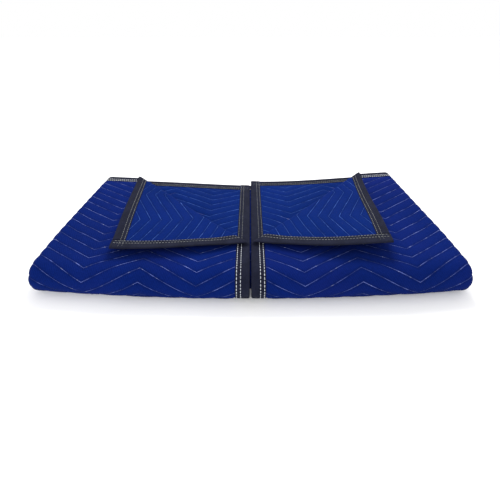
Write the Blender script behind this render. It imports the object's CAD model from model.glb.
"""Looks of a quilted moving blanket, folded up for the shelf.

The blanket is worked out flat, in sheet coordinates (a, b, w), and carried into its folded pack by
the same folds as the solids: in half, both sides to a middle seam, and in half again at the front.
Lengths are in metres, and +Z is up.
"""

import logging
import math
from dataclasses import astuple, dataclass
from enum import Enum

import bmesh
import bpy
import numpy as np
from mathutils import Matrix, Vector


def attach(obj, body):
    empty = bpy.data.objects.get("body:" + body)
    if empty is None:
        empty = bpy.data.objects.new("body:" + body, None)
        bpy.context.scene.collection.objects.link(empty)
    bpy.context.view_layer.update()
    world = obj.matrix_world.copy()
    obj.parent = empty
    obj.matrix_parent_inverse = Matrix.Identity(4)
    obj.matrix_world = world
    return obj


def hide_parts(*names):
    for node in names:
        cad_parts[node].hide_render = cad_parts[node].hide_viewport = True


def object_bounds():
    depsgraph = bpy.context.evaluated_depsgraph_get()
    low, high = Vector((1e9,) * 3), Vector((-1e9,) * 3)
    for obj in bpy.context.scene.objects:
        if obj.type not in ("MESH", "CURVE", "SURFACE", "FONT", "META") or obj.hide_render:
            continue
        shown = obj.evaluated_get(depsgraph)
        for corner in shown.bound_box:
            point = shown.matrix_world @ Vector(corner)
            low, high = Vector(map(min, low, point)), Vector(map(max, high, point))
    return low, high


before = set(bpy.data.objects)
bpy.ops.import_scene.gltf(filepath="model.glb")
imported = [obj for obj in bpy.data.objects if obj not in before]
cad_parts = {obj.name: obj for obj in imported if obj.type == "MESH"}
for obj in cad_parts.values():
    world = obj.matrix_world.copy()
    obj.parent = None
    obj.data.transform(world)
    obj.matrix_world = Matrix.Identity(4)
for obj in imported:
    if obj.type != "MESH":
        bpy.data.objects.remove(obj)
CAD_LOW, CAD_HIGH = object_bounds()

log = logging.getLogger("moving_blanket")

Colour = tuple[float, float, float, float]

OUTLINE_PLACES = 161
CUT_REACH = 0.06
CUT_MERGE = 0.0002
POINT_MERGE = 0.00002


class Side(Enum):
    """The two halves of the pack, left and right of its middle seam."""

    LEFT = -1
    RIGHT = 1


class Cloth(Enum):
    """The two woven faces of the blanket, in the order of its material slots."""

    OUTER = 0
    REVERSE = 1


@dataclass(frozen=True)
class Corner:
    """Where the crease of a turned-back corner meets the seam edge and the back edge."""

    from_back: float
    from_seam: float
    lift: float

    def normal(self) -> tuple[float, float]:
        """Unit vector towards the corner, in distances from the seam and from the back."""
        length = math.hypot(self.from_back, self.from_seam)
        return -self.from_back / length, -self.from_seam / length

    def offset(self) -> float:
        """Distance of the sheet's corner past the crease."""
        return self.from_back * self.from_seam / math.hypot(self.from_back, self.from_seam)


@dataclass(frozen=True)
class Blanket:
    """Sizes of the flat blanket and of the way it is folded."""

    length: float = 2.032
    width: float = 1.829
    pitch: float = 0.0102
    seam_half_gap: float = 0.0038
    loft: float = 0.0076
    crest_thickness: float = 0.0079
    stitch_thickness: float = 0.0042
    margin_thickness: float = 0.0030
    tape_width: float = 0.030
    margin: float = 0.0312
    margin_rise: float = 0.007
    line_spacing: float = 0.028
    zigzag_period: float = 0.254
    zigzag_height: float = 0.062
    zigzag_shift: float = 0.012

    @property
    def half_length(self) -> float:
        """Half the sheet's long side."""
        return self.length / 2.0

    @property
    def half_width(self) -> float:
        """Half the sheet's short side."""
        return self.width / 2.0

    @property
    def strip(self) -> float:
        """Half a zigzag, from a peak to a valley."""
        return self.zigzag_period / 2.0

    def zigzag(self, a: np.ndarray) -> np.ndarray:
        """How far a stitch line strays across the sheet at each a."""
        turn = (self.half_length - np.abs(a) + self.zigzag_shift) / self.zigzag_period
        part = turn - np.floor(turn)
        return 0.5 * self.zigzag_height * (1.0 - 4.0 * np.minimum(part, 1.0 - part))

    def phase(self, a: np.ndarray, b: np.ndarray) -> np.ndarray:
        """Number of stitch lines from the middle of the sheet, mirrored in its two long halves."""
        return (np.abs(b) - self.zigzag(a)) / self.line_spacing


def smooth_step(value: np.ndarray) -> np.ndarray:
    """Ease from 0 to 1."""
    value = np.clip(value, 0.0, 1.0)
    return value * value * (3.0 - 2.0 * value)


@dataclass(frozen=True)
class Unevenness:
    """How one half of the pack departs from neat folds.

    Attributes:
        puff: Share by which its end stands higher.
        seam_depth: How much deeper it is at the seam.
        end_depth: How much deeper it is at its end.
        narrowing: Share by which it narrows at the back.
    """

    puff: float
    seam_depth: float
    end_depth: float
    narrowing: float

    def blend(self, other: "Unevenness", share: np.ndarray) -> list[np.ndarray]:
        """Each value, moved by a share towards the other half's."""
        return [mine + (theirs - mine) * share for mine, theirs in zip(astuple(self), astuple(other))]


@dataclass
class Folding:
    """Carries points of the flat blanket into the folded pack.

    Attributes:
        blanket: The flat blanket.
        corners: The turned-back corner of each half.
        halves: The unevenness of each half.
        shift: Moves the pack from its own folding lines to the frame, in x and y.
        flap_bulge: How far the front edge of a turned corner bows out.
        bulge_reach: How far from that edge the bow fades.
        bulge_start: How far past the crease the bow is whole.
        lift_reach: How far past the crease the lift is whole.
        lift_least: Least share of the lift, between its ripples.
        ripple: Radians of ripple in a metre.
        edge_curl: How high the front edge of a turned corner curls up.
        curl_reach: How far from that edge the curl fades.
        curl_start: How far past the crease the curl is whole.
        front_bow: How far the ends of the front lie behind its middle.
        front_narrowing: Share by which the front is narrower.
        puff_at_front: Share of the ends' puff that is left at the front.
        middle_sink: Share by which the pack sinks towards the back.
        end_sink: Share by which the ends of the front sink.
        back_sway: How far the back's layers stray.
        sway_turns: Radians of that straying in a metre, in x and z.
        seam_blend: How far from the seam one half's unevenness passes into the other's.
        front_reach: How far from the front its own unevenness fades.
        wave_share: Height of a slow wave, as a share of the height that it lies at.
        waves: Each slow wave's radians in a metre, in x and y, and its phase.
        roll_steps: Steps round the roll of a turned corner's crease.
    """

    blanket: Blanket
    corners: dict[Side, Corner]
    halves: dict[Side, Unevenness]
    shift: tuple[float, float] = (0.0, 0.0)
    flap_bulge: float = 0.008
    bulge_reach: float = 0.20
    bulge_start: float = 0.06
    lift_reach: float = 0.24
    lift_least: float = 0.35
    ripple: float = 10.0
    edge_curl: float = 0.008
    curl_reach: float = 0.08
    curl_start: float = 0.10
    front_bow: float = 0.026
    front_narrowing: float = 0.006
    puff_at_front: float = 0.25
    middle_sink: float = 0.05
    end_sink: float = 0.05
    back_sway: float = 0.004
    sway_turns: tuple[float, float] = (4.0, 40.0)
    seam_blend: float = 0.08
    front_reach: float = 0.16
    wave_share: float = 0.0175
    waves: tuple[tuple[float, float, float], ...] = ((5.1, 8.0, 1.0), (5.1, -8.0, 0.2), (11.0, -6.0, 0.0))
    roll_steps: int = 8

    def __post_init__(self) -> None:
        """Work out where each fold starts and ends on the sheet."""
        pitch = self.blanket.pitch
        self.first_radius = 0.5 * pitch
        self.side_radius = 1.5 * pitch
        self.front_radius = 3.5 * pitch
        self.crease_radius = 0.5 * pitch
        self.first_arc = 0.5 * math.pi * self.first_radius
        self.side_arc = math.pi * self.side_radius
        self.front_arc = math.pi * self.front_radius
        self.crease_arc = math.pi * self.crease_radius
        self.side_start = 0.5 * (self.blanket.half_length + self.blanket.seam_half_gap - self.side_arc)
        self.side_end = self.side_start + self.side_arc
        self.front_start = 0.5 * (self.blanket.half_width + self.first_arc - self.front_arc)
        self.front_end = self.front_start + self.front_arc
        self.middle = self.front_radius + 0.5 * self.blanket.loft
        self.front_line = self.front_start - self.first_arc

    def stand_in(self, low: Vector, high: Vector) -> None:
        """Shift the pack so that its outline lies in the middle of a box, in x and y.

        Args:
            low: The box's lowest corner.
            high: Its highest corner.
        """
        places = np.linspace(-1.0, 1.0, OUTLINE_PLACES)
        a, b = np.meshgrid(places * self.blanket.half_length, places * self.blanket.half_width)
        level = np.full(a.size, 0.5 * self.blanket.loft)
        sheet = np.column_stack([a.ravel(), b.ravel(), level])
        points = np.vstack([self.carry(sheet), self.carry(sheet * (1.0, 1.0, -1.0))])
        middle = 0.5 * (points.min(axis=0) + points.max(axis=0))
        self.shift = (0.5 * (low.x + high.x) - middle[0], 0.5 * (low.y + high.y) - middle[1])

    def past_crease(self, side: Side, a: np.ndarray, b: np.ndarray) -> np.ndarray:
        """Measure from a corner's crease.

        Args:
            side: The half that the corner is in.
            a: Sheet coordinates along the long side.
            b: Sheet coordinates along the short side.

        Returns:
            Signed distance past the crease, positive on the corner's side.
        """
        corner = self.corners[side]
        to_seam, to_back = corner.normal()
        from_seam = self.blanket.half_length - np.abs(a)
        from_back = self.blanket.half_width - np.abs(b)
        return to_seam * from_seam + to_back * from_back + corner.offset()

    def turns_over(self, a: np.ndarray, b: np.ndarray) -> np.ndarray:
        """True for points of the top layer, which a crease may turn over."""
        return (b < -self.front_end) & (np.abs(a) > self.side_end)

    def carry(self, flat: np.ndarray) -> np.ndarray:
        """Fold points up.

        Args:
            flat: Rows of sheet coordinates (a, b, w).

        Returns:
            Rows of (x, y, z) in the frame.
        """
        a, b, w = flat.T
        run, height = self._first(b, w)
        reach, height = self._sides(a, height)
        y, z = self._front(run, height)
        for side in Side:
            mine = self.turns_over(a, b) & (a * side.value > 0.0)
            seam_move, back_move, above = self._corner(side, a[mine], b[mine], w[mine])
            reach[mine] += seam_move
            y[mine] -= back_move
            z[mine] += above - w[mine]
        x = np.where(a > 0.0, reach, -reach)
        blended = smooth_step(0.5 + 0.5 * x / self.seam_blend)
        right_share = np.where(np.abs(a) > self.side_end, (a > 0.0).astype(float), blended)
        return self._settle(x, y, z, right_share)

    def _first(self, b: np.ndarray, w: np.ndarray) -> tuple[np.ndarray, np.ndarray]:
        """First fold, in half.

        Args:
            b: Sheet coordinates along the short side.
            w: Heights over the middle of the sheet.

        Returns:
            Distance from the fold, and height in the pair of layers.
        """
        pitch = self.blanket.pitch
        flat_run = np.abs(b) - self.first_arc
        flat_height = pitch + np.sign(b) * (self.first_radius + w)
        angle = np.clip(b / self.first_radius, -0.5 * math.pi, 0.5 * math.pi)
        radius = self.first_radius + w
        turning = flat_run < 0.0
        run = np.where(turning, -radius * np.cos(angle), flat_run)
        height = np.where(turning, pitch + radius * np.sin(angle), flat_height)
        return run, height

    def _sides(self, a: np.ndarray, height: np.ndarray) -> tuple[np.ndarray, np.ndarray]:
        """Second fold, the sides brought to the middle seam.

        Args:
            a: Sheet coordinates along the long side.
            height: Heights in the pair of layers.

        Returns:
            Distance from the middle of the pack, and height in the four layers.
        """
        pitch = self.blanket.pitch
        reach = np.abs(a)
        radius = 2.0 * pitch - height
        angle = np.clip(math.pi * (reach - self.side_start) / self.side_arc, 0.0, math.pi)
        straight = np.minimum(reach, self.side_start) - np.maximum(reach - self.side_end, 0.0)
        return straight + radius * np.sin(angle), 2.0 * pitch - radius * np.cos(angle)

    def _front(self, run: np.ndarray, height: np.ndarray) -> tuple[np.ndarray, np.ndarray]:
        """Third fold, the whole pack in half at the front.

        Args:
            run: Distances from the first fold.
            height: Heights in the four layers.

        Returns:
            Depth and height in the pack.
        """
        start = self.front_start - self.first_arc
        end = self.front_end - self.first_arc
        angle = np.clip(math.pi * (run - start) / self.front_arc, 0.0, math.pi)
        straight = np.maximum(start - run, 0.0) + np.maximum(run - end, 0.0)
        return straight - height * np.sin(angle), self.middle - height * np.cos(angle)

    def _corner(
        self, side: Side, a: np.ndarray, b: np.ndarray, w: np.ndarray
    ) -> tuple[np.ndarray, np.ndarray, np.ndarray]:
        """Turn a corner of the top layer back along its crease.

        Args:
            side: The half that the corner is in.
            a: Sheet coordinates along the long side.
            b: Sheet coordinates along the short side.
            w: Heights over the middle of the sheet.

        Returns:
            How far each point moves from the seam and from the back, and its new height.
        """
        corner = self.corners[side]
        to_seam, to_back = corner.normal()
        from_seam = self.blanket.half_length - np.abs(a)
        from_back = self.blanket.half_width - np.abs(b)
        past = self.past_crease(side, a, b)
        radius = self.crease_radius
        angle = np.clip(past / radius, 0.0, math.pi)
        free = np.maximum(past - self.crease_arc, 0.0)
        new_past = np.where(past <= 0.0, past, (radius - w) * np.sin(angle) - free)
        ripple = 0.5 + 0.5 * np.sin(self.ripple * (from_seam - from_back) + side.value)
        uneven = self.lift_least + (1.0 - self.lift_least) * ripple
        lift = corner.lift * smooth_step(free / self.lift_reach) * uneven
        curl = self.edge_curl * np.maximum(1.0 - from_seam / self.curl_reach, 0.0) ** 2
        lift = lift + curl * smooth_step(past / self.curl_start)
        above = np.where(past <= 0.0, w, radius - (radius - w) * np.cos(angle) + lift)
        move = new_past - past
        share = np.clip(from_back / corner.from_back, 0.0, 1.0)
        bulge = self.flap_bulge * 4.0 * share * (1.0 - share)
        bulge = bulge * smooth_step(1.0 - from_seam / self.bulge_reach) * smooth_step(past / self.bulge_start)
        return to_seam * move, to_back * move + bulge, above

    def _settle(self, x: np.ndarray, y: np.ndarray, z: np.ndarray, right_share: np.ndarray) -> np.ndarray:
        """Let the pack sit unevenly: puffed ends, bowed front and back, slow waves.

        Args:
            x: Distances from the middle seam, to the right.
            y: Depths from the front fold's middle, to the back.
            z: Heights.
            right_share: How much each point goes with the right half.

        Returns:
            Rows of (x, y, z) in the frame.
        """
        left, right = self.halves[Side.LEFT], self.halves[Side.RIGHT]
        puff, seam_depth, end_depth, narrowing = left.blend(right, right_share)
        across = x / (self.side_start + self.side_radius)
        back = smooth_step(y / self.front_line)
        front = 1.0 - smooth_step((y + self.front_radius) / self.front_reach)
        puff_share = self.puff_at_front + (1.0 - self.puff_at_front) * back
        rise = puff * smooth_step(np.abs(across)) * puff_share - self.middle_sink * back
        wave = sum(np.sin(turn_x * x + turn_y * y + phase) for turn_x, turn_y, phase in self.waves)
        wave = self.wave_share * wave
        z_new = z * (1.0 + rise + wave * (1.0 - front) - self.end_sink * front * across**2)
        sway = self.back_sway * np.sin(self.sway_turns[0] * x + self.sway_turns[1] * z)
        deeper = seam_depth + (end_depth - seam_depth) * across**2 + sway
        y_new = y + self.front_bow * across**2 * (1.0 - back) + deeper * back
        x_new = x * (1.0 - self.front_narrowing * front - narrowing * back)
        return np.column_stack([x_new + self.shift[0], y_new + self.shift[1], z_new])


@dataclass(frozen=True)
class Crease:
    """A soft trough or ridge that handling has left in one face of a gate layer.

    Attributes:
        side: The half.
        upper: True for the top layer, False for the one under it.
        face: The face that it marks.
        from_seam: Where its middle lies, from the middle seam.
        from_back: Where its middle lies, from the back.
        turn: Its direction in degrees, from the way to the end of the pack towards the front.
        reach: Half its length.
        width: How far out from its line it fades.
        depth: How deep it is; less than zero for a ridge.
    """

    side: Side
    upper: bool
    face: Cloth
    from_seam: float
    from_back: float
    turn: float
    reach: float
    width: float
    depth: float

    def depth_at(self, blanket: Blanket, a: np.ndarray, b: np.ndarray) -> np.ndarray:
        """Work out how deep the crease is at each point.

        Args:
            blanket: The flat blanket.
            a: Sheet coordinates along the long side.
            b: Sheet coordinates along the short side.

        Returns:
            The depths.
        """
        seam = blanket.half_length - a * self.side.value - self.from_seam
        back = blanket.half_width + (b if self.upper else -b) - self.from_back
        turn = math.radians(self.turn)
        along = seam * math.cos(turn) + back * math.sin(turn)
        across = back * math.cos(turn) - seam * math.sin(turn)
        section = np.exp(-((across / self.width) ** 2))
        return self.depth * smooth_step(1.0 - np.abs(along) / self.reach) * section


# Columns: side, upper, face, from_seam, from_back, turn, reach, width, depth
CREASES = (
    Crease(Side.LEFT, False, Cloth.REVERSE, 0.255, 0.085, -42.0, 0.085, 0.017, 0.0034),
    Crease(Side.LEFT, False, Cloth.REVERSE, 0.130, 0.195, -38.0, 0.080, 0.016, 0.0034),
    Crease(Side.LEFT, False, Cloth.REVERSE, 0.150, 0.105, -12.0, 0.110, 0.030, -0.0022),
    Crease(Side.LEFT, True, Cloth.REVERSE, 0.110, 0.190, 48.0, 0.100, 0.024, -0.0022),
    Crease(Side.LEFT, True, Cloth.REVERSE, 0.190, 0.090, 60.0, 0.070, 0.018, 0.0024),
    Crease(Side.LEFT, True, Cloth.OUTER, 0.120, 0.425, 5.0, 0.130, 0.022, 0.0030),
    Crease(Side.LEFT, True, Cloth.OUTER, 0.290, 0.430, -24.0, 0.110, 0.024, -0.0022),
    Crease(Side.LEFT, True, Cloth.OUTER, 0.445, 0.280, 80.0, 0.130, 0.018, 0.0026),
    Crease(Side.RIGHT, False, Cloth.REVERSE, 0.275, 0.070, -40.0, 0.075, 0.018, 0.0036),
    Crease(Side.RIGHT, False, Cloth.REVERSE, 0.105, 0.215, -41.0, 0.100, 0.016, 0.0036),
    Crease(Side.RIGHT, False, Cloth.REVERSE, 0.110, 0.095, 15.0, 0.090, 0.028, -0.0022),
    Crease(Side.RIGHT, True, Cloth.REVERSE, 0.100, 0.160, 52.0, 0.110, 0.024, -0.0024),
    Crease(Side.RIGHT, True, Cloth.REVERSE, 0.200, 0.070, 35.0, 0.070, 0.018, 0.0024),
    Crease(Side.RIGHT, True, Cloth.OUTER, 0.115, 0.420, -4.0, 0.120, 0.022, 0.0030),
    Crease(Side.RIGHT, True, Cloth.OUTER, 0.340, 0.440, 20.0, 0.120, 0.024, -0.0022),
    Crease(Side.RIGHT, True, Cloth.OUTER, 0.450, 0.250, 100.0, 0.120, 0.018, 0.0026),
)


def read_points(bm: bmesh.types.BMesh) -> np.ndarray:
    """Every point of a mesh as rows of three numbers."""
    return np.array([tuple(point.co) for point in bm.verts])


def geometry_where(bm: bmesh.types.BMesh, keep: np.ndarray) -> list:
    """Faces chosen by a mask, with their edges and points, in a fixed order."""
    faces = [face for face, wanted in zip(bm.faces, keep) if wanted]
    edges = list(dict.fromkeys(edge for face in faces for edge in face.edges))
    points = list(dict.fromkeys(point for face in faces for point in face.verts))
    return faces + edges + points


def cut_creases(bm: bmesh.types.BMesh, folding: Folding) -> None:
    """Cut a flat piece along the rolled crease of each turned-back corner.

    Args:
        bm: The flat piece.
        folding: Where the creases lie.
    """
    half_length, half_width = folding.blanket.half_length, folding.blanket.half_width
    for side, corner in folding.corners.items():
        to_seam, to_back = corner.normal()
        for step in range(folding.roll_steps + 1):
            reach = folding.crease_arc * step / folding.roll_steps - corner.offset()
            on_cut = Vector((side.value * (half_length - reach * to_seam), reach * to_back - half_width, 0.0))
            centres = np.array([tuple(face.calc_center_median()) for face in bm.faces])
            past = folding.past_crease(side, centres[:, 0], centres[:, 1])
            near = folding.turns_over(centres[:, 0], centres[:, 1]) & (np.abs(past) < CUT_REACH)
            bmesh.ops.bisect_plane(
                bm,
                geom=geometry_where(bm, near & (centres[:, 0] * side.value > 0.0)),
                dist=CUT_MERGE,
                plane_co=on_cut,
                plane_no=Vector((-side.value * to_seam, to_back, 0.0)),
            )


def finish_piece(
    name: str, bm: bmesh.types.BMesh, folding: Folding, materials: list[bpy.types.Material]
) -> bpy.types.Object:
    """Fold a flat mesh up and make it an object that rides with the pack.

    Args:
        name: The piece's name.
        bm: Its mesh, in sheet coordinates.
        folding: The folds.
        materials: Its material slots.

    Returns:
        The new object, with its sheet coordinates kept in the attribute "sheet".
    """
    bmesh.ops.recalc_face_normals(bm, faces=bm.faces)
    mesh = bpy.data.meshes.new(name)
    bm.to_mesh(mesh)
    bm.free()
    flat = np.empty(3 * len(mesh.vertices))
    mesh.vertices.foreach_get("co", flat)
    kept = mesh.attributes.new("sheet", "FLOAT_VECTOR", "POINT")
    kept.data.foreach_set("vector", flat)
    mesh.vertices.foreach_set("co", folding.carry(flat.reshape(-1, 3)).ravel())
    for material in materials:
        mesh.materials.append(material)
    mesh.shade_smooth()
    mesh.update()
    piece = bpy.data.objects.new(name, mesh)
    bpy.context.scene.collection.objects.link(piece)
    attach(piece, "root")
    log.info("%s: %d points, %d faces", name, len(mesh.vertices), len(mesh.polygons))
    return piece


def spread(start: float, end: float, steps: int) -> np.ndarray:
    """Even steps from a start, which is left out, to an end."""
    return np.linspace(start, end, steps + 1)[1:]


@dataclass
class QuiltedSheet:
    """The padded sheet, with its stitch lines drawn in.

    Attributes:
        line_phases: Where rows lie between two stitch lines, as shares of the way.
        strip_columns: Columns in half a zigzag.
        side_columns: Columns round a side fold.
        base_columns: Columns from a side fold to the middle of the sheet.
        closest: Least distance between columns.
        top_lines_end: How far from the middle the top half's rows stop following the lines.
        top_plain: How far from the middle they have become straight.
        under_lines_start: How far from the middle the other half's rows follow the lines.
        top_fade_rows: Rows from following the lines to straight.
        top_plain_rows: Straight rows on to the first fold.
        first_fold_rows: Rows round the first fold.
        under_plain_rows: Straight rows on to the front fold.
        front_fold_rows: Rows round the front fold.
        under_fade_rows: Rows from straight to following the lines.
        sway_fade: How far before a side fold the rows begin to follow the lines.
        groove_power: How narrow the stitched grooves are.
        crease_fade: How far from the tapes a crease fades.
    """

    blanket: Blanket
    folding: Folding
    line_phases: tuple[float, ...] = (0.0, 0.07, 0.2, 0.4, 0.6, 0.8, 0.93)
    strip_columns: int = 8
    side_columns: int = 10
    base_columns: int = 6
    closest: float = 0.0015
    top_lines_end: float = 0.36
    top_plain: float = 0.24
    under_lines_start: float = 0.60
    top_fade_rows: int = 13
    top_plain_rows: int = 9
    first_fold_rows: int = 8
    under_plain_rows: int = 11
    front_fold_rows: int = 18
    under_fade_rows: int = 7
    sway_fade: float = 0.06
    groove_power: float = 0.62
    crease_fade: float = 0.025

    def columns(self) -> np.ndarray:
        """Columns of the grid, from one end of the sheet to the other."""
        half = self.blanket.half_length
        step = self.blanket.strip / self.strip_columns
        inner = np.arange(0.0, half - self.folding.side_end + step, step) - self.blanket.zigzag_shift
        low, high = self.blanket.margin + 2.0 * self.closest, half - self.folding.side_end
        inner = inner[(inner > low) & (inner < high)]
        gate = [half - place for place in (0.0, 0.5 * self.blanket.margin, self.blanket.margin, *inner)]
        turn = np.linspace(self.folding.side_end, self.folding.side_start, self.side_columns + 1)
        base = np.linspace(self.folding.side_start, 0.0, self.base_columns + 1)
        right = np.unique(np.round(np.concatenate([gate, turn, base]), 6))
        right = right[np.concatenate([[True], np.diff(right) > self.closest])]
        return np.concatenate([-right[::-1], right[1:]])

    def rows_on_lines(self, low: float, high: float) -> np.ndarray:
        """Places of the rows that follow the stitch lines, between two limits."""
        spacing = self.blanket.line_spacing
        count = np.arange(math.floor(low / spacing) - 1, math.ceil(high / spacing) + 2)
        every = np.sort((count[:, None] + np.array(self.line_phases)[None, :]).ravel()) * spacing
        return every[(every > low) & (every < high)]

    def rows(self) -> tuple[np.ndarray, np.ndarray]:
        """Rows of the grid: where each lies at the middle of a zigzag, and how much it follows one."""
        folding = self.folding
        places: list[float] = []
        follows: list[float] = []

        def add(values: np.ndarray, follow: np.ndarray | float) -> None:
            """Add rows, with how much each follows the lines."""
            places.extend(values)
            follows.extend(np.broadcast_to(follow, np.shape(values)))

        reach = self.blanket.half_width + 0.5 * self.blanket.zigzag_height
        top = self.rows_on_lines(-reach, -self.top_lines_end)
        under = self.rows_on_lines(self.under_lines_start, reach)
        add(top, 1.0)
        add(spread(top[-1], -self.top_plain, self.top_fade_rows), spread(1.0, 0.0, self.top_fade_rows))
        add(spread(-self.top_plain, -folding.first_arc, self.top_plain_rows), 0.0)
        add(spread(-folding.first_arc, folding.first_arc, self.first_fold_rows), 0.0)
        add(spread(folding.first_arc, folding.front_start, self.under_plain_rows), 0.0)
        add(spread(folding.front_start, folding.front_end, self.front_fold_rows), 0.0)
        rising = spread(0.0, 1.0, self.under_fade_rows)[:-1]
        add(spread(folding.front_end, under[0], self.under_fade_rows)[:-1], rising)
        add(under, 1.0)
        return np.array(places), np.array(follows)

    def flat_grid(self) -> bmesh.types.BMesh:
        """A flat sheet whose rows run along the stitch lines where the quilting shows."""
        blanket, folding = self.blanket, self.folding
        columns = self.columns()
        places, follows = self.rows()
        inner = blanket.half_width - blanket.margin
        outside = smooth_step((np.abs(columns) - folding.side_start + self.sway_fade) / self.sway_fade)
        sway = blanket.zigzag(columns) * outside
        b = places[:, None] + (np.sign(places) * follows)[:, None] * sway[None, :]
        b = np.clip(b, -inner, inner)
        edge = np.full((1, len(columns)), blanket.half_width)
        middle = np.full((1, len(columns)), blanket.half_width - 0.5 * blanket.margin)
        b = np.vstack([-edge, -middle, b, middle, edge])
        bm = bmesh.new()
        bmesh.ops.create_grid(bm, x_segments=len(columns) - 1, y_segments=len(b) - 1, size=1.0)
        bm.verts.ensure_lookup_table()
        for index, point in enumerate(bm.verts):
            row, column = divmod(index, len(columns))
            point.co = Vector((columns[column], b[row, column], 0.0))
        bmesh.ops.remove_doubles(bm, verts=bm.verts, dist=POINT_MERGE)
        cut_creases(bm, folding)
        bmesh.ops.triangulate(bm, faces=[face for face in bm.faces if len(face.verts) > 4])
        return bm

    def thickness(self, flat: np.ndarray) -> np.ndarray:
        """Thickness of the sheet at each point: thin under the tape, drawn in at the stitching."""
        blanket = self.blanket
        a, b = flat[:, 0], flat[:, 1]
        puff = np.abs(np.sin(math.pi * blanket.phase(a, b))) ** self.groove_power
        full = blanket.stitch_thickness + (blanket.crest_thickness - blanket.stitch_thickness) * puff
        edge = np.minimum(blanket.half_length - np.abs(a), blanket.half_width - np.abs(b))
        rise = smooth_step((edge - blanket.margin) / blanket.margin_rise)
        return blanket.margin_thickness + (full - blanket.margin_thickness) * rise

    def creased(self, flat: np.ndarray, face: Cloth) -> np.ndarray:
        """How deep the main creases mark a face at each point; they die out before the tapes."""
        a, b = flat[:, 0], flat[:, 1]
        total = sum(crease.depth_at(self.blanket, a, b) for crease in CREASES if crease.face is face)
        edge = np.minimum(self.blanket.half_length - np.abs(a), self.blanket.half_width - np.abs(b))
        gate = np.abs(a) > self.folding.side_end
        return total * gate * smooth_step((edge - self.blanket.margin) / self.crease_fade)

    def build(self, materials: list[bpy.types.Material]) -> bpy.types.Object:
        """Make the folded sheet.

        Args:
            materials: The outer face's and the reverse face's.

        Returns:
            The cloth, which stands for its solid.
        """
        bm = self.flat_grid()
        flat_lower = read_points(bm)
        half = 0.5 * self.thickness(flat_lower) - self.creased(flat_lower, Cloth.REVERSE)
        lower = list(bm.verts)
        raised = bmesh.ops.extrude_face_region(bm, geom=list(bm.faces))
        upper = [item for item in raised["geom"] if isinstance(item, bmesh.types.BMVert)]
        flat_upper = np.array([tuple(point.co) for point in upper])
        upper_half = 0.5 * self.thickness(flat_upper) - self.creased(flat_upper, Cloth.OUTER)
        underside = (flat_upper[:, 1] < 0.0) & (flat_upper[:, 1] > -self.folding.front_start)
        underside &= np.abs(flat_upper[:, 0]) > self.folding.side_start
        for point, value in zip(lower, half):
            point.co.z = -value
        for point, value, under in zip(upper, upper_half, underside):
            point.co.z = 0.5 * self.blanket.loft if under else value
        for face in bm.faces:
            top = sum(point.co.z > 0.0 for point in face.verts)
            face.material_index = Cloth.OUTER.value if 2 * top >= len(face.verts) else Cloth.REVERSE.value
        cloth = finish_piece("quilted_blanket", bm, self.folding, materials)
        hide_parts("quilted_cloth")
        return cloth


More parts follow.
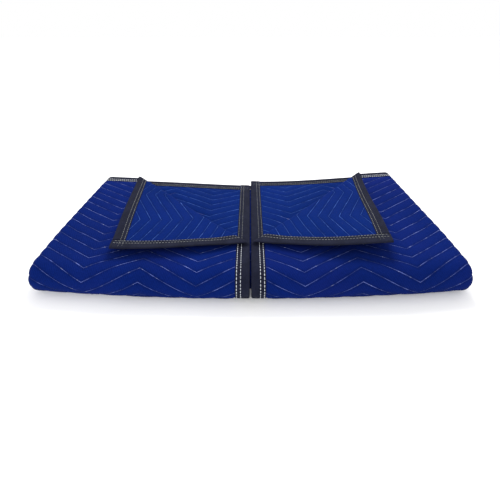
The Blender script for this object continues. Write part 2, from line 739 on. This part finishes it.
@dataclass
class Tape:
    """One binding tape, wrapped over an edge of the sheet and sewn with two rows of stitches.

    Attributes:
        node: The solid that it stands for.
        along_b: True on the ends of the sheet, False on its long edges.
        sign: Which of the two it is on.
        half_depth: Half the height of its section.
        cloth: Thickness of its own cloth.
        edge_gap: Room between the sheet's edge and its own fold.
        end_gap: How far it stays from the tapes that cross its ends.
        step: Distance between its sections.
        section_gap: How far an even section stays from those of a fold.
        stitch_rows: How far in from the edge the rows lie.
        pressed: Share of its depth that is left under a row.
        stitch_pitch: Distance between stitches.
        stitch_length: Length of a stitch.
        stitch_height: How high a stitch stands.
        stitch_sink: How deep its sides go in.
        stitch_shoulder: Where its full width starts, as a share of its length from its middle.
        stitch_end_gap: How far the rows stop from the sheet's corners.
        stitch_stagger: How far the second row is out of step, as a share of the pitch.
    """

    name: str
    node: str
    along_b: bool
    sign: int
    blanket: Blanket
    folding: Folding
    half_depth: float = 0.0032
    cloth: float = 0.0008
    edge_gap: float = 0.0012
    end_gap: float = 0.0010
    step: float = 0.0075
    section_gap: float = 0.002
    first_fold_steps: int = 8
    front_fold_steps: int = 18
    side_fold_steps: int = 12
    stitch_rows: tuple[float, float] = (0.0180, 0.0268)
    pressed: float = 0.80
    stitch_pitch: float = 0.0072
    stitch_length: float = 0.0062
    stitch_height: float = 0.0009
    stitch_sink: float = 0.0004
    stitch_shoulder: float = 0.28
    stitch_end_gap: float = 0.002
    stitch_stagger: float = 0.3

    def place(self, inset: float, along: float) -> tuple[float, float]:
        """Sheet coordinates of a point some way in from the edge and along it."""
        if self.along_b:
            return self.sign * (self.blanket.half_length - inset), along
        return along, self.sign * (self.blanket.half_width - inset)

    @property
    def width(self) -> float:
        """How far the tape reaches in from the sheet's edge."""
        return self.blanket.tape_width

    def reach(self) -> float:
        """Half the tape's length."""
        if self.along_b:
            return self.blanket.half_width + self.edge_gap + self.cloth
        return self.blanket.half_length - self.width - self.end_gap

    def stops(self) -> list[float]:
        """Places along the tape where its mesh has a section, closer together on the folds."""
        folding, reach = self.folding, self.reach()
        if self.along_b:
            bends = [(-folding.first_arc, folding.first_arc, self.first_fold_steps)]
            ends = (folding.front_start, folding.front_end, self.front_fold_steps)
        else:
            bends = []
            ends = (folding.side_start, folding.side_end, self.side_fold_steps)
        bends += [(sign * ends[0], sign * ends[1], ends[2]) for sign in (-1, 1)]
        places = list(np.arange(-reach, reach, self.step))
        for start, end, steps in bends:
            low, high = min(start, end), max(start, end)
            gap = self.section_gap
            places = [place for place in places if not low - gap < place < high + gap]
            places += list(np.linspace(low, high, steps + 1))
        places = sorted(place for place in places if abs(place) < reach - 0.5 * self.section_gap)
        return [-reach, *places, reach]

    def section(self) -> list[tuple[float, float]]:
        """Outline the tape's section, pressed in at the rows of stitches and round at the edge.

        Returns:
            Points as the distance in from the edge and the height.
        """
        near, far = self.stitch_rows
        leaf = [
            (self.width, 0.72), (self.width - 0.0009, 0.86), (far, self.pressed), (far - 0.0022, 0.92),
            (near + 0.0022, 0.93), (near, self.pressed), (near - 0.003, 0.96), (0.5 * near, 1.0),
            (0.0015, 0.90), (-0.4 * self.edge_gap, 0.72), (-self.edge_gap - self.cloth, 0.28),
        ]
        upper = [(inset, share * self.half_depth) for inset, share in leaf]
        outer = upper + [(inset, -height) for inset, height in reversed(upper)]
        deep = self.half_depth * self.pressed - self.cloth
        inner = [(self.width, -deep), (0.0, -deep), (-0.6 * self.edge_gap, 0.0)]
        inner += [(0.0, deep), (self.width, deep)]
        return outer + inner

    def build(self, material: bpy.types.Material) -> bpy.types.Object:
        """Make the tape.

        Args:
            material: The woven tape.

        Returns:
            The tape, which stands for its solid.
        """
        section, stops = self.section(), self.stops()
        bm = bmesh.new()
        rings = [
            [bm.verts.new((*self.place(inset, along), height)) for inset, height in section]
            for along in stops
        ]
        count = len(section)
        for near, far in zip(rings, rings[1:]):
            for index in range(count):
                after = (index + 1) % count
                bm.faces.new([near[index], near[after], far[after], far[index]])
        for ring in (rings[0], rings[-1]):
            bm.faces.new(ring)
        if self.along_b or self.sign < 0:
            cut_creases(bm, self.folding)
        bmesh.ops.triangulate(bm, faces=[face for face in bm.faces if len(face.verts) > 4])
        tape = finish_piece(self.name, bm, self.folding, [material])
        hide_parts(self.node)
        return tape

    def stitches(self, face: Cloth, width: float, material: bpy.types.Material) -> bpy.types.Object:
        """Make the stitches that show on one face of the tape, on across the next tape at its ends.

        Args:
            face: The face of the blanket that they lie on.
            width: How wide a stitch is.
            material: The thread.

        Returns:
            All of that face's stitches as one mesh.
        """
        up = 1.0 if face is Cloth.OUTER else -1.0
        height = up * self.pressed * self.half_depth
        top = height + up * self.stitch_height
        sunk = height - up * self.stitch_sink
        edge = self.blanket.half_width if self.along_b else self.blanket.half_length
        reach = edge - self.stitch_end_gap
        count = int(2.0 * reach / self.stitch_pitch)
        ring = [(-0.5, sunk), (0.0, top), (0.5, sunk)]
        shape = [(-0.5, 0.0, sunk)]
        for along in (-self.stitch_shoulder, self.stitch_shoulder):
            shape += [(along, across, level) for across, level in ring]
        shape += [(0.5, 0.0, sunk)]
        sides = [(0, 2, 1), (0, 3, 2), (0, 1, 3), (1, 2, 5, 4), (2, 3, 6, 5), (3, 1, 4, 6)]
        sides += [(7, 4, 5), (7, 5, 6), (7, 6, 4)]
        bm = bmesh.new()
        for row, inset in enumerate(self.stitch_rows):
            for index in range(count):
                middle = -reach + (index + 0.5 + self.stitch_stagger * row) * self.stitch_pitch
                points = []
                for along, across, level in shape:
                    place = self.place(inset + across * width, middle + along * self.stitch_length)
                    points.append(bm.verts.new((*place, level)))
                for side in sides:
                    bm.faces.new([points[corner] for corner in side])
        name = f"{self.name}_stitches_{face.name.lower()}"
        return finish_piece(name, bm, self.folding, [material])


class Value:
    """A shader socket that takes part in Python expressions; each operator adds a Math node."""

    def __init__(self, shader: "Shader", socket: bpy.types.NodeSocket) -> None:
        """Wrap an output socket of a shader's tree."""
        self.shader = shader
        self.socket = socket

    def _math(self, operation: str, *values: "Value | float") -> "Value":
        """Add a Math node."""
        return self.shader.node("ShaderNodeMath", {"operation": operation}, dict(enumerate(values)))

    def __add__(self, other: "Value | float") -> "Value":
        """Sum."""
        return self._math("ADD", self, other)

    def __radd__(self, other: float) -> "Value":
        """Sum with a number on the left."""
        return self._math("ADD", other, self)

    def __sub__(self, other: "Value | float") -> "Value":
        """Difference."""
        return self._math("SUBTRACT", self, other)

    def __rsub__(self, other: float) -> "Value":
        """Difference from a number."""
        return self._math("SUBTRACT", other, self)

    def __mul__(self, other: "Value | float") -> "Value":
        """Product."""
        return self._math("MULTIPLY", self, other)

    def __rmul__(self, other: float) -> "Value":
        """Product with a number on the left."""
        return self._math("MULTIPLY", other, self)

    def __truediv__(self, other: "Value | float") -> "Value":
        """Quotient."""
        return self._math("DIVIDE", self, other)

    def __abs__(self) -> "Value":
        """Size without its sign."""
        return self._math("ABSOLUTE", self)

    def ping_pong(self, scale: float) -> "Value":
        """Distance to the nearest multiple of twice the scale."""
        return self._math("PINGPONG", self, scale)

    def sine(self) -> "Value":
        """Sine of an angle in radians."""
        return self._math("SINE", self)

    def ease(self, start: float, end: float) -> "Value":
        """Smooth step that is 0 at start and 1 at end."""
        settings = {"interpolation_type": "SMOOTHSTEP"}
        return self.shader.node("ShaderNodeMapRange", settings, {"Value": self, 1: start, 2: end})


class Shader:
    """A material's node tree, built from expressions."""

    def __init__(self, name: str) -> None:
        """Start an empty material."""
        self.material = bpy.data.materials.new(name)
        self.material.use_nodes = True
        self.tree = self.material.node_tree
        self.tree.nodes.clear()

    def node(self, kind: str, settings: dict, sockets: dict, output: int | str = 0) -> Value:
        """Add a node.

        Args:
            kind: The node's type.
            settings: Its settings, set first.
            sockets: Values or links of its sockets, by name or number.
            output: Which of its outputs to use.

        Returns:
            That output.
        """
        made = self.tree.nodes.new(kind)
        for key, value in settings.items():
            setattr(made, key, value)
        for key, value in sockets.items():
            if isinstance(value, Value):
                self.tree.links.new(value.socket, made.inputs[key])
            else:
                made.inputs[key].default_value = value
        return Value(self, made.outputs[output])

    def sheet(self) -> tuple[Value, Value, Value]:
        """Sheet coordinates of the surface."""
        place = self.node("ShaderNodeAttribute", {"attribute_name": "sheet"}, {}, "Vector")
        return tuple(self.node("ShaderNodeSeparateXYZ", {}, {0: place}, axis) for axis in range(3))

    def vector(self, x: Value | float, y: Value | float, z: Value | float) -> Value:
        """A vector from three values."""
        return self.node("ShaderNodeCombineXYZ", {}, {0: x, 1: y, 2: z})

    def noise(self, place: Value, scale: float, detail: float, roughness: float = 0.5) -> Value:
        """Smooth noise between 0 and 1."""
        sockets = {"Vector": place, "Scale": scale, "Detail": detail, "Roughness": roughness}
        return self.node("ShaderNodeTexNoise", {}, sockets)

    def mix(self, share: Value | float, first: Value | Colour, second: Value | Colour) -> Value:
        """Blend of two colours."""
        settings = {"data_type": "RGBA", "blend_type": "MIX"}
        return self.node("ShaderNodeMix", settings, {0: share, 6: first, 7: second}, 2)

    def bump(self, height: Value) -> Value:
        """Normal bent by a height in metres."""
        return self.node("ShaderNodeBump", {}, {"Height": height, "Distance": 1.0, "Strength": 1.0})

    def finish(self, sockets: dict) -> bpy.types.Material:
        """Add the Principled shader and return the material."""
        surface = self.node("ShaderNodeBsdfPrincipled", {}, sockets)
        output = self.tree.nodes.new("ShaderNodeOutputMaterial")
        self.tree.links.new(surface.socket, output.inputs["Surface"])
        return self.material


@dataclass(frozen=True)
class WovenFace:
    """One face of the blanket: woven cloth with zigzag lines of thread.

    Attributes:
        name: The material's name.
        deep: Colour in the hollows.
        lit: Colour on the crests.
        tinge: Colour of the patches where the dye has turned.
        thread: Colour of the stitch lines.
        knot: Colour of the few stitches that stand out.
        line_half_width: Half the width of a stitch line.
        faintest: Strength of a stitch line where its thread has sunk in.
        line_stray: How far a stitch line strays to and fro.
        line_slant: Distance square across two lines, as a share of their spacing.
        stitch_pitch: Distance between stitches in a line, along the sheet.
        groove_half_width: How far from a line its groove's shade reaches.
        weave_pitch: Distance between yarns.
        rib_pitch: Distance between the slanting ribs of the weave.
        rib_slope: How much the ribs slant.
    """

    name: str
    deep: Colour
    lit: Colour
    tinge: Colour
    thread: Colour
    knot: Colour
    line_half_width: float
    faintest: float
    line_stray: float = 0.0012
    line_slant: float = 0.88
    stitch_pitch: float = 0.0036
    groove_half_width: float = 0.0060
    weave_pitch: float = 0.0019
    rib_pitch: float = 0.0052
    rib_slope: float = 0.7

    def material(self, blanket: Blanket) -> bpy.types.Material:
        """Make the material.

        Args:
            blanket: Sizes of the quilting.

        Returns:
            The face's material.
        """
        shader = Shader(self.name)
        a, b, w = shader.sheet()
        place = shader.vector(a, b, w)
        turn = (blanket.half_length + blanket.zigzag_shift - abs(a)) / blanket.zigzag_period
        sway = 0.5 * blanket.zigzag_height * (1.0 - 4.0 * turn.ping_pong(0.5))
        across = ((abs(b) - sway) / blanket.line_spacing).ping_pong(0.5)
        from_line = across * (self.line_slant * blanket.line_spacing)

        stray = (shader.noise(place, 60.0, 1.0) - 0.5) * self.line_stray
        line = 1.0 - (from_line + stray).ease(0.6 * self.line_half_width, 1.4 * self.line_half_width)
        sunk = shader.noise(shader.vector(a * 0.8, b * 1.6, w), 26.0, 3.0, 0.6).ease(0.40, 0.62)
        knots = shader.noise(place, 210.0, 1.0).ease(0.62, 0.72)
        strength = self.faintest + (1.0 - self.faintest) * sunk
        thread = line * strength * (0.75 + 0.25 * (a / self.stitch_pitch).ping_pong(0.5).ease(0.1, 0.3))

        yarns_a = (a * (2.0 * math.pi / self.weave_pitch)).sine()
        yarns_b = (b * (2.0 * math.pi / self.weave_pitch)).sine()
        weave = yarns_a * yarns_b
        rib = ((a + b * self.rib_slope) * (2.0 * math.pi / self.rib_pitch)).sine()
        slub = shader.noise(shader.vector(a * 9.0, b, 0.0), 130.0, 3.0, 0.6)
        slub_across = shader.noise(shader.vector(a, b * 9.0, 0.0), 130.0, 3.0, 0.6)
        patches = shader.noise(place, 6.0, 3.0, 0.55)
        hollow = 1.0 - from_line.ease(0.0, self.groove_half_width)
        tone = patches * 0.34 + slub * 0.46 + slub_across * 0.46 + weave * 0.09 + rib * 0.045 - hollow * 0.16
        turned = shader.noise(place, 3.1, 2.0).ease(0.42, 0.68) * 0.6
        dyed = shader.mix(turned, self.lit, self.tinge)
        cloth = shader.mix(tone.ease(0.30, 0.92), self.deep, dyed)
        bright = shader.mix(knots * 0.6, self.thread, self.knot)
        colour = shader.mix(thread, cloth, bright)

        pucker = shader.noise(shader.vector(a * 3.2, b, 0.0), 48.0, 2.0)
        height = pucker * (0.0007 + 0.0016 * hollow) + weave * 0.00007
        height = height + (slub + slub_across) * 0.00032 + rib * 0.00010 + line * 0.0003
        return shader.finish(
            {
                "Base Color": colour,
                "Roughness": 0.92,
                "Specular IOR Level": 0.03,
                "Sheen Weight": 0.008,
                "Sheen Roughness": 0.5,
                "Sheen Tint": (0.4, 0.5, 1.0, 1.0),
                "Normal": shader.bump(height),
            }
        )


@dataclass(frozen=True)
class WovenTape:
    """Ribbed charcoal binding tape.

    Attributes:
        name: The material's name.
        deep: Colour in the hollows.
        lit: Colour on the crests.
        twill_pitch: Distance between its slanting ribs, along an edge.
        rib_pitch: Distance between the fine ribs that cross them, along an edge.
    """

    name: str
    deep: Colour
    lit: Colour
    twill_pitch: float = 0.0021
    rib_pitch: float = 0.0011

    def material(self) -> bpy.types.Material:
        """Make the material."""
        shader = Shader(self.name)
        a, b, w = shader.sheet()
        twill = ((a + b) * (2.0 * math.pi / self.twill_pitch)).sine()
        ribs = ((a - b) * (2.0 * math.pi / self.rib_pitch)).sine()
        place = shader.vector(a, b, w)
        patchy = shader.noise(place, 38.0, 3.0, 0.6)
        fibre = shader.noise(place, 900.0, 2.0, 0.6)
        tone = patchy * 0.6 + fibre * 0.4 + twill * 0.08
        height = twill * 0.00007 + ribs * 0.00003 + patchy * 0.0005 + fibre * 0.00012
        return shader.finish(
            {
                "Base Color": shader.mix(tone.ease(0.2, 0.9), self.deep, self.lit),
                "Roughness": 0.88,
                "Specular IOR Level": 0.06,
                "Sheen Weight": 0.01,
                "Sheen Roughness": 0.5,
                "Normal": shader.bump(height),
            }
        )


@dataclass(frozen=True)
class Thread:
    """Sewing thread.

    Attributes:
        name: The material's name.
        colour: Colour on its strands.
        shade: Colour between them.
        twist_pitch: Distance between its turns.
        twist_height: How far its strands stand out.
    """

    name: str
    colour: Colour
    shade: Colour
    twist_pitch: float = 0.0009
    twist_height: float = 0.0001

    def material(self) -> bpy.types.Material:
        """Make the material."""
        shader = Shader(self.name)
        a, b, w = shader.sheet()
        twist = ((a + b + w * 2.0) * (2.0 * math.pi / self.twist_pitch)).sine()
        patchy = shader.noise(shader.vector(a, b, w), 120.0, 2.0)
        tone = patchy + twist * 0.2
        return shader.finish(
            {
                "Base Color": shader.mix(tone.ease(0.2, 0.9), self.shade, self.colour),
                "Roughness": 0.7,
                "Normal": shader.bump(twist * self.twist_height),
            }
        )


@dataclass
class Studio:
    """White floor, soft light and the photo's view.

    Attributes:
        tilt: How far the camera looks down, in degrees.
        focal_pixels: Distance from the camera to its picture plane, in the photo's pixels.
        level_row: Row of the photo that lies straight ahead of the camera.
        frame_pixels: Width of the photo.
        place: Where the camera stands.
        floor_size: Length of the floor's sides.
        floor_level: Height of the floor, just under the blanket.
        floor_glow: How brightly the floor itself shines.
    """

    tilt: float = 19.13
    focal_pixels: float = 326.0
    level_row: float = 136.8
    frame_pixels: float = 500.0
    place: tuple[float, float, float] = (-0.0008, -0.8097, 0.5854)
    floor_size: float = 30.0
    floor_level: float = -0.0005
    floor_glow: float = 0.12

    def floor(self) -> None:
        """Make the floor, bright enough to run into the surround without a line."""
        shader = Shader("white_floor")
        place = shader.node("ShaderNodeNewGeometry", {}, {}, "Position")
        speck = shader.noise(place, 3.0, 2.0)
        colour = shader.mix(speck, (0.88, 0.88, 0.89, 1.0), (0.92, 0.92, 0.92, 1.0))
        material = shader.finish(
            {
                "Base Color": colour,
                "Roughness": 0.9,
                "Specular IOR Level": 0.1,
                "Emission Color": (1.0, 1.0, 1.0, 1.0),
                "Emission Strength": self.floor_glow,
            }
        )
        bpy.ops.mesh.primitive_plane_add(size=self.floor_size, location=(0.0, 0.0, self.floor_level))
        ground = bpy.context.object
        ground.name = "floor"
        ground.data.materials.append(material)

    def lights(self) -> None:
        """Make a soft light above the back, a weaker one from the front, and a white surround."""
        world = bpy.data.worlds.new("studio")
        world.use_nodes = True
        background = world.node_tree.nodes["Background"]
        background.inputs["Color"].default_value = (1.0, 1.0, 1.0, 1.0)
        background.inputs["Strength"].default_value = 1.0
        bpy.context.scene.world = world
        self._lamp("overhead", place=(0.15, 0.95, 1.5), target=(0.0, 0.0, 0.05), size=0.9, watts=26.0)
        self._lamp("front", place=(-0.8, -1.6, 1.1), target=(0.0, -0.1, 0.05), size=1.2, watts=12.0)

    def _lamp(self, name: str, place: tuple, target: tuple, size: float, watts: float) -> None:
        """Make one area light.

        Args:
            name: Its name.
            place: Where it hangs.
            target: The point that it faces.
            size: Length of its sides.
            watts: Its power.
        """
        data = bpy.data.lights.new(name, "AREA")
        data.size = size
        data.energy = watts
        lamp = bpy.data.objects.new(name, data)
        lamp.location = place
        lamp.rotation_euler = (Vector(target) - Vector(place)).to_track_quat("-Z", "Y").to_euler()
        bpy.context.scene.collection.objects.link(lamp)

    def camera(self) -> None:
        """Make the camera."""
        data = bpy.data.cameras.new("camera")
        data.sensor_width = 36.0
        data.lens = self.focal_pixels / self.frame_pixels * data.sensor_width
        data.shift_y = (self.level_row - 0.5 * self.frame_pixels) / self.frame_pixels
        camera = bpy.data.objects.new("camera", data)
        camera.location = self.place
        camera.rotation_euler = (math.radians(90.0 - self.tilt), 0.0, 0.0)
        bpy.context.scene.collection.objects.link(camera)
        bpy.context.scene.camera = camera


def main() -> None:
    """Build the blanket, its tapes and the studio."""
    logging.basicConfig(level=logging.INFO, format="%(message)s")
    blanket = Blanket()
    corners = {
        Side.LEFT: Corner(from_back=0.335, from_seam=0.392, lift=0.016),
        Side.RIGHT: Corner(from_back=0.335, from_seam=0.396, lift=0.024),
    }
    halves = {
        Side.LEFT: Unevenness(puff=0.09, seam_depth=0.010, end_depth=0.038, narrowing=0.008),
        Side.RIGHT: Unevenness(puff=0.18, seam_depth=0.042, end_depth=0.070, narrowing=0.018),
    }
    folding = Folding(blanket, corners, halves)
    folding.stand_in(CAD_LOW, CAD_HIGH)

    outer = WovenFace(
        name="outer_cloth",
        deep=(0.0010, 0.0068, 0.068, 1.0),
        lit=(0.0024, 0.0145, 0.140, 1.0),
        tinge=(0.0065, 0.0125, 0.130, 1.0),
        thread=(0.11, 0.15, 0.44, 1.0),
        knot=(0.50, 0.55, 0.80, 1.0),
        line_half_width=0.00048,
        faintest=0.22,
    )
    reverse = WovenFace(
        name="reverse_cloth",
        deep=(0.0008, 0.0080, 0.066, 1.0),
        lit=(0.0018, 0.0175, 0.140, 1.0),
        tinge=(0.0030, 0.0165, 0.155, 1.0),
        thread=(0.045, 0.11, 0.42, 1.0),
        knot=(0.14, 0.24, 0.62, 1.0),
        line_half_width=0.00048,
        faintest=0.50,
    )
    tape = WovenTape("binding_tape", deep=(0.0055, 0.0065, 0.014, 1.0), lit=(0.0155, 0.0175, 0.037, 1.0))
    pale = Thread("pale_thread", colour=(0.86, 0.88, 0.92, 1.0), shade=(0.55, 0.58, 0.66, 1.0))
    grey = Thread("grey_thread", colour=(0.34, 0.35, 0.33, 1.0), shade=(0.13, 0.14, 0.14, 1.0))
    tape_finish, pale_thread, grey_thread = tape.material(), pale.material(), grey.material()

    cloth = QuiltedSheet(blanket, folding).build([outer.material(blanket), reverse.material(blanket)])
    tapes = [
        Tape("side_binding_left", "binding_side_left", True, Side.LEFT.value, blanket, folding),
        Tape("side_binding_right", "binding_side_right", True, Side.RIGHT.value, blanket, folding),
        Tape("end_binding_top", "binding_end_top", False, -1, blanket, folding),
        Tape("end_binding_under", "binding_end_under", False, 1, blanket, folding),
    ]
    for tape in tapes:
        tape.build(tape_finish)
        tape.stitches(Cloth.OUTER, 0.0024, pale_thread)
        tape.stitches(Cloth.REVERSE, 0.0017, grey_thread)

    studio = Studio()
    studio.floor()
    studio.lights()
    studio.camera()
    bpy.context.scene.view_settings.view_transform = "Standard"


if __name__ == "__main__":
    main()
